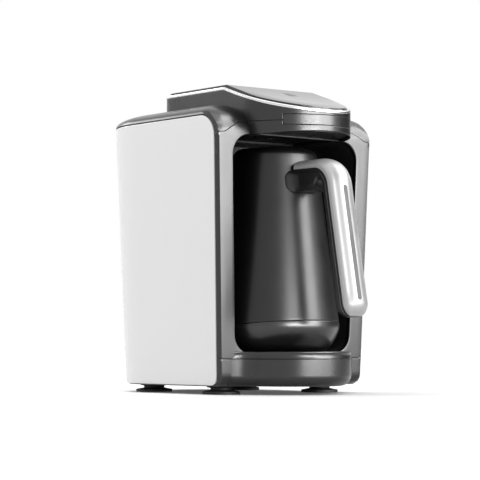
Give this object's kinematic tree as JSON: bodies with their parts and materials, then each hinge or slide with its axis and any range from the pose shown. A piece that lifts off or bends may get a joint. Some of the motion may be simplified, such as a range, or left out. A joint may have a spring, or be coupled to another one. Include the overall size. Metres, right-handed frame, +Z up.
{
  "type": "electric turkish coffee maker",
  "caption": "Rounded D-plan housing with an arched front niche, an overhanging touch-plate head and a lift-out pot with a long angled handle.",
  "frame": {"origin": "on the table, under the middle of the whole object's box", "axes": "+Z up, -Y the front with the pot's handle, +X to the right seen from the front"},
  "size_m": [0.168, 0.2872, 0.2628],
  "materials": {
    "badge": "satin",
    "base_plate": "fine grain",
    "black_part": "satin",
    "board": "solder-resist gloss",
    "bright_trim": "bright anodised",
    "ceiling": "fine satin",
    "ceramic_white": "matt",
    "connector": "satin",
    "contact": "gold plated",
    "control_gloss": "high gloss",
    "foot": "matt",
    "gland": "matt",
    "gunmetal_plastic": "satin metallic lacquer over moulded plastic",
    "handle_core": "satin",
    "handle_cover": "satin silver lacquer",
    "heater": "cast",
    "inlay": "satin",
    "lens": "clear dark red",
    "liner": "gloss",
    "pot": "gloss dark coating",
    "pot_cup": "gloss",
    "relay": "satin",
    "spring": "drawn wire",
    "stand": "satin",
    "white_panel": "gloss",
    "winding": "enamelled wire and tape",
    "zinc": "zinc plated"
  },
  "bodies": {
    "housing": {"main_housing": "gunmetal_plastic", "front_frame": "gunmetal_plastic", "top_cover": "gunmetal_plastic", "base_front": "gunmetal_plastic", "base_plate": "base_plate", "side_panel_left": "white_panel", "side_panel_right": "white_panel", "rear_strip": "gunmetal_plastic", "head_rim": "bright_trim", "control_plate": "control_gloss", "touch_board": "board", "badge_plate": "badge", "niche_liner": "liner", "brew_ceiling": "ceiling", "sensor_lens": "lens", "sensor_board": "board", "pot_stand": "stand", "contact_block": "ceramic_white", "contact_spring_left": "spring", "contact_spring_middle": "spring", "contact_spring_right": "spring", "power_board": "board", "relay": "relay", "transformer": "winding", "buzzer": "black_part", "board_screws": "zinc", "cord_gland": "gland", "foot_pads": "foot", "foot_studs": "black_part", "base_screws": "zinc"},
    "pot": {"pot_body": "pot", "pot_base_cup": "pot_cup", "heater_plate": "heater", "pot_connector": "connector", "pot_contacts": "contact", "handle_bracket": "zinc", "handle_core": "handle_core", "handle_cover": "handle_cover", "handle_inlay": "inlay", "handle_screws": "zinc"},
    "pin_left": {"contact_pin_left": "contact"},
    "pin_middle": {"contact_pin_middle": "contact"},
    "pin_right": {"contact_pin_right": "contact"}
  },
  "joints": [
    {"name": "pot_slide", "type": "slide", "parent": "housing", "child": "pot", "axis": [0, -1, 0], "range_m": [0, 0.15]},
    {"name": "pin_left_press", "type": "slide", "parent": "housing", "child": "pin_left", "axis": [0, 0, 1], "range_m": [-0.0015, 0], "stiffness_N_per_m": 300, "springref_m": 0.002, "deforming": ["contact_spring_left"]},
    {"name": "pin_middle_press", "type": "slide", "parent": "housing", "child": "pin_middle", "axis": [0, 0, 1], "range_m": [-0.0015, 0], "stiffness_N_per_m": 300, "springref_m": 0.002, "deforming": ["contact_spring_middle"]},
    {"name": "pin_right_press", "type": "slide", "parent": "housing", "child": "pin_right", "axis": [0, 0, 1], "range_m": [-0.0015, 0], "stiffness_N_per_m": 300, "springref_m": 0.002, "deforming": ["contact_spring_right"]}
  ]
}
